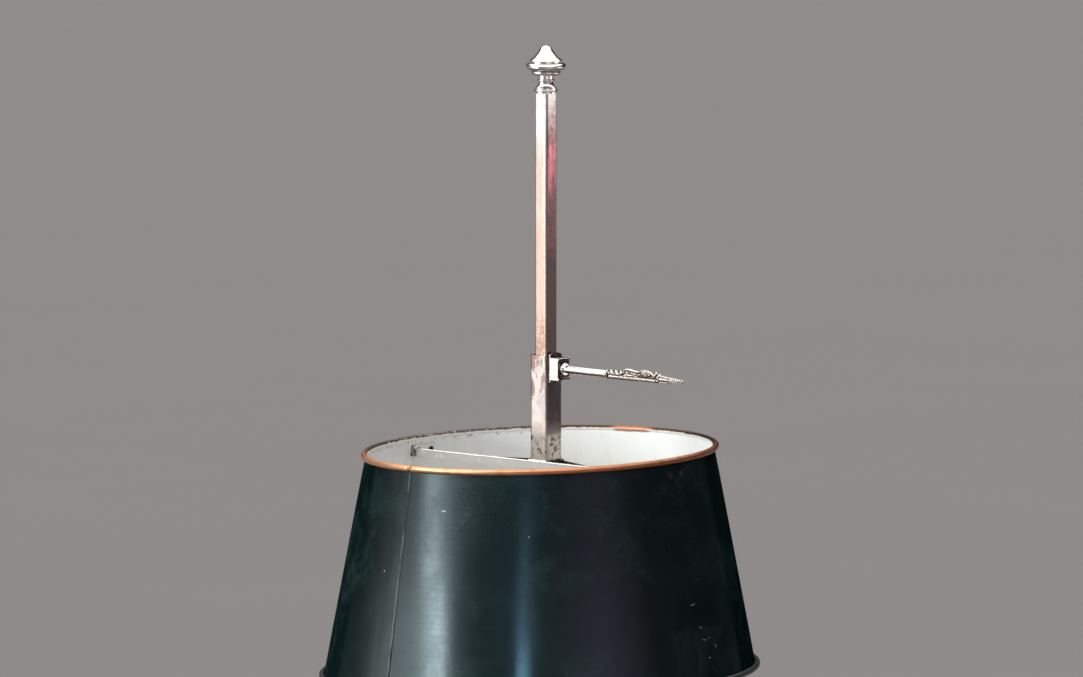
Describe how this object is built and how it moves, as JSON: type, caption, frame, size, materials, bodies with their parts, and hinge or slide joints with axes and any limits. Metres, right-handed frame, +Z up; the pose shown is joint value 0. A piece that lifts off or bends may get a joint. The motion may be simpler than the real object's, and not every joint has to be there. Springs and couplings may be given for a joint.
{
  "type": "bouillotte lamp",
  "caption": "Free-standing table lamp for candles, with a metal shade that slides on a square stem and is clamped by a key.",
  "frame": {"origin": "middle of the baize under the base, on the stem's axis, on the surface that the lamp stands on", "axes": "+Z up along the stem; +X along the key, at right angles to the stem's face with the clamp; +Y to the side away from the bar"},
  "size_m": [0.359, 0.359, 0.7],
  "materials": {
    "silver_plate": "polished silver plate on brass",
    "worn_silver": "polished silver plate worn to the copper in places",
    "plain_brass": "plain turned brass",
    "painted_sheet": "dark green paint outside, white paint inside, rims worn to copper",
    "copper": "bare copper wire",
    "dark_rivet": "darkened copper rivets under worn paint",
    "baize": "green baize"
  },
  "bodies": {
    "lamp_stand": {"base_baize": "baize", "base_dish": "silver_plate", "stem_washer": "plain_brass", "stem_nut": "plain_brass", "stem_socle": "silver_plate", "stem": "worn_silver", "finial": "silver_plate", "arm_hub": "silver_plate", "hub_screw": "plain_brass", "candle_arm_1": "silver_plate", "candle_arm_2": "silver_plate", "candle_arm_3": "silver_plate", "drip_pan_1": "silver_plate", "drip_pan_2": "silver_plate", "drip_pan_3": "silver_plate", "candle_cup_1": "silver_plate", "candle_cup_2": "silver_plate", "candle_cup_3": "silver_plate"},
    "shade_carriage": {"sleeve": "worn_silver", "clamp_plate": "silver_plate", "clamp_boss": "silver_plate", "key_bush": "silver_plate", "shade_bar": "silver_plate", "bar_strap": "silver_plate", "bar_rivets": "dark_rivet", "shade_wall": "painted_sheet", "top_rim_wire": "copper", "bottom_rim_wire": "copper"},
    "clamp_pad": {"pressure_pad": "plain_brass"},
    "shade_key": {"clamp_key": "silver_plate", "key_handle": "silver_plate"}
  },
  "joints": [
    {"name": "shade_height", "type": "slide", "parent": "lamp_stand", "child": "shade_carriage", "axis": [0, 0, 1], "range_m": [-0.165, 0.2]},
    {"name": "clamp_travel", "type": "slide", "parent": "shade_carriage", "child": "clamp_pad", "axis": [1, 0, 0], "range_m": [0, 0.00125]},
    {"name": "key_turn", "type": "hinge", "parent": "clamp_pad", "child": "shade_key", "pos_m": [0.03, 0, 0.438], "axis": [1, 0, 0], "range_deg": [0, 360]}
  ],
  "couplings": [
    {"joint": "key_turn", "follows": "clamp_travel", "rad_per_m": 5026.5}
  ]
}
